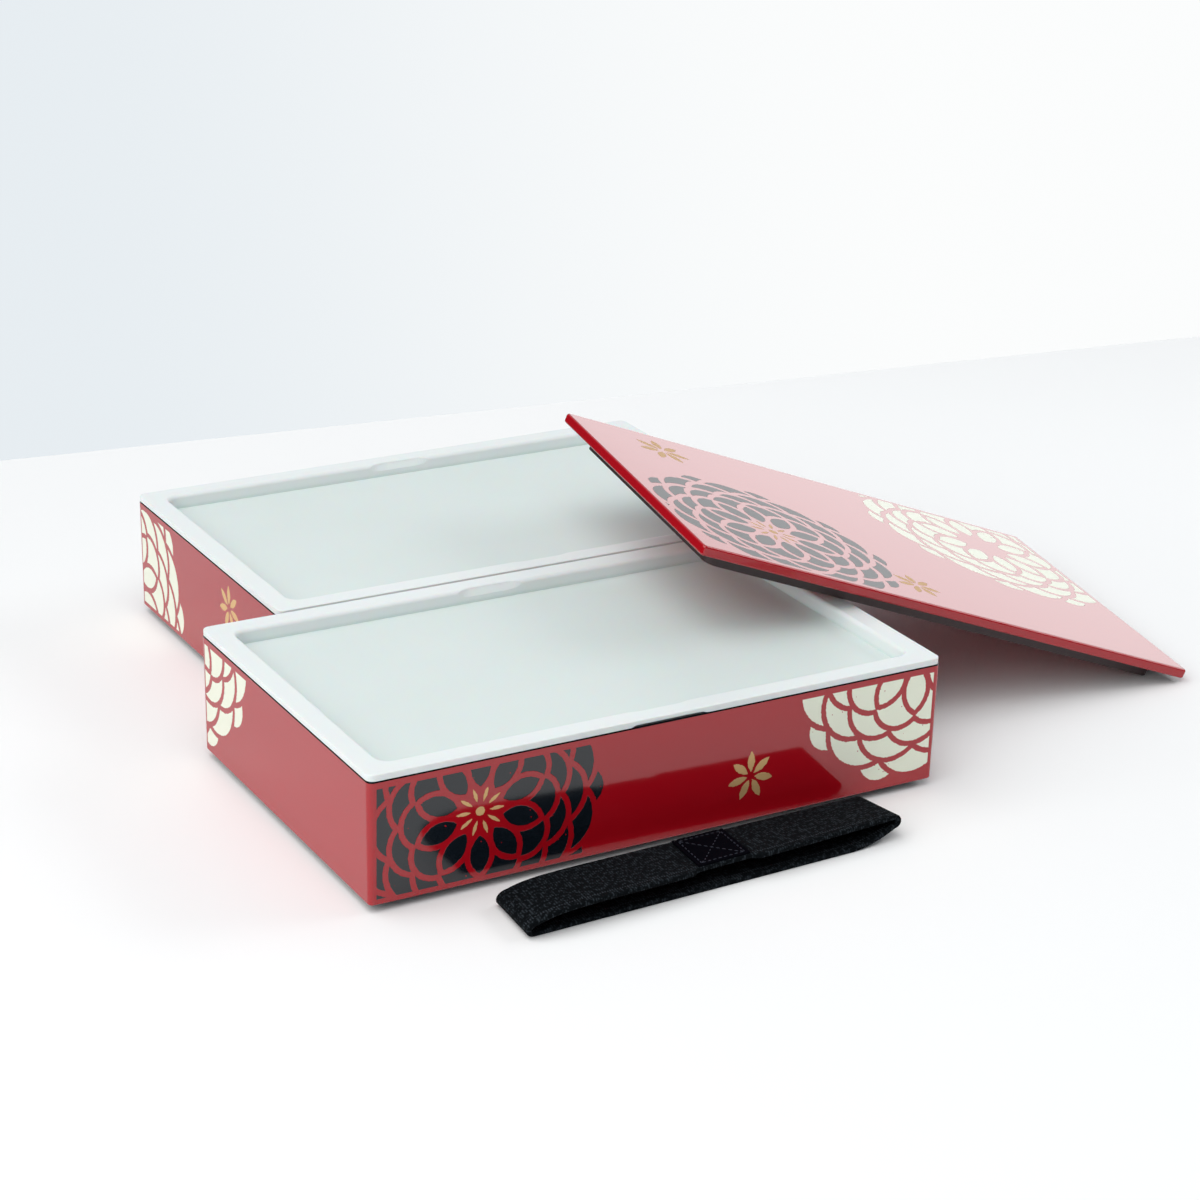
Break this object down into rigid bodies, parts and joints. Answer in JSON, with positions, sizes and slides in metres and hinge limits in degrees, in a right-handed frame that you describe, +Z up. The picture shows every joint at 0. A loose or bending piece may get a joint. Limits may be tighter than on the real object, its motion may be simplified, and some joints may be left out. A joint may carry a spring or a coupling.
{
  "type": "stacking lacquer food box",
  "caption": "Low rectangular lacquer food box in stacking tiers, unstacked, with soft sealing inner lids, a leaning flat top lid and a looped elastic band.",
  "frame": {"origin": "centre of the front tier's foot ring, on the table", "axes": "+X along the tiers' long sides to the right, +Y from the front tier to the rear tier, +Z up from the table"},
  "size_m": [0.338, 0.2748, 0.0769],
  "materials": {
    "red_lacquer": "mirror gloss urethane lacquer, red outside and black inside",
    "milky_seal": "soft milky translucent plastic",
    "black_webbing": "ribbed woven elastic",
    "black_patch": "smooth close-woven tape",
    "sewing_thread": "twisted black thread"
  },
  "bodies": {
    "front_tier": {"front_tier": "red_lacquer"},
    "front_inner_lid": {"front_inner_lid": "milky_seal"},
    "top_lid": {"top_lid": "red_lacquer"},
    "rear_tier": {"rear_tier": "red_lacquer"},
    "rear_inner_lid": {"rear_inner_lid": "milky_seal"},
    "band": {"elastic_band": "black_webbing", "band_join_patch": "black_patch"}
  },
  "joints": [
    {"name": "front_inner_lid_lift", "type": "slide", "parent": "front_tier", "child": "front_inner_lid", "axis": [0, 0, 1], "range_m": [0, 0.05]},
    {"name": "top_lid_lift", "type": "slide", "parent": "front_inner_lid", "child": "top_lid", "axis": [0, 0, 1], "range_m": [0, 0.08]},
    {"name": "rear_tier_slide", "type": "slide", "parent": "front_tier", "child": "rear_tier", "axis": [0, 1, 0], "range_m": [0, 0.08]},
    {"name": "rear_inner_lid_lift", "type": "slide", "parent": "rear_tier", "child": "rear_inner_lid", "axis": [0, 0, 1], "range_m": [0, 0.05]},
    {"name": "band_slide", "type": "slide", "parent": "front_tier", "child": "band", "axis": [0, -1, 0], "range_m": [0, 0.08]}
  ],
  "couplings": [
    {"joint": "rear_inner_lid_lift", "follows": "front_inner_lid_lift", "ratio": 1}
  ]
}
